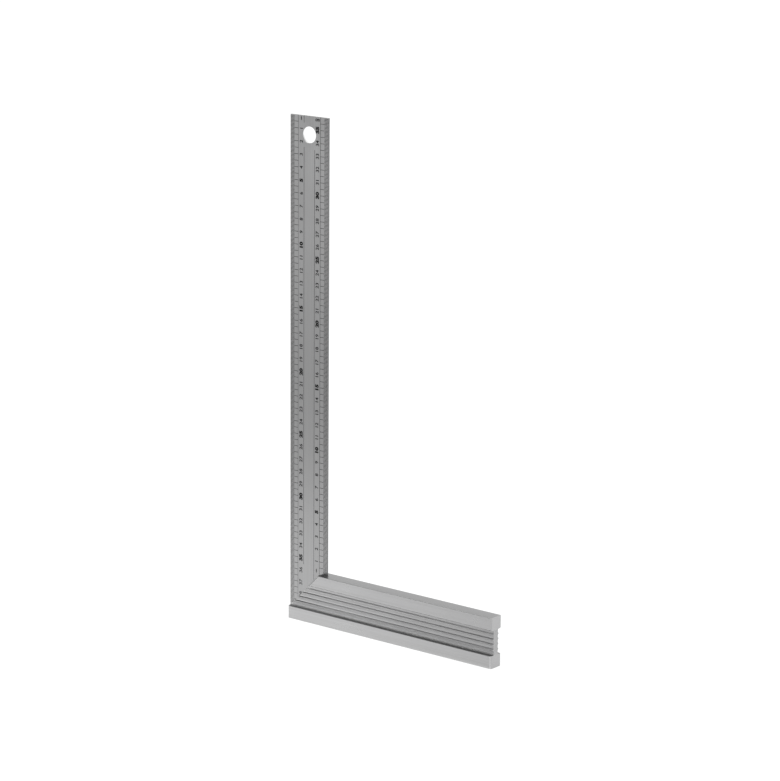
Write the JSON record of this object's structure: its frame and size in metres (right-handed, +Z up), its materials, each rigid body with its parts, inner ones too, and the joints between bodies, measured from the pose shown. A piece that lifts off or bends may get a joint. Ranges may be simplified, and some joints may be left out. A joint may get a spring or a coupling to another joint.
{
  "type": "carpenter square",
  "caption": "L-shaped fixed try square: flat steel rule with a hanging hole, set upright in a mitred, ribbed aluminium stock.",
  "frame": {"origin": "middle of the footprint, on the face that the stock stands on", "axes": "+Z up along the blade, +X along the stock away from the blade, +Y towards the back"},
  "size_m": [0.2018, 0.012, 0.4],
  "materials": {
    "stock": "satin, extruded and brushed",
    "blade": "satin",
    "pins": "ground flush",
    "scale_ink": "matt black etched marks"
  },
  "bodies": {
    "root": {"stock": "stock", "blade": "blade", "blade_pins": "pins"}
  },
  "joints": []
}
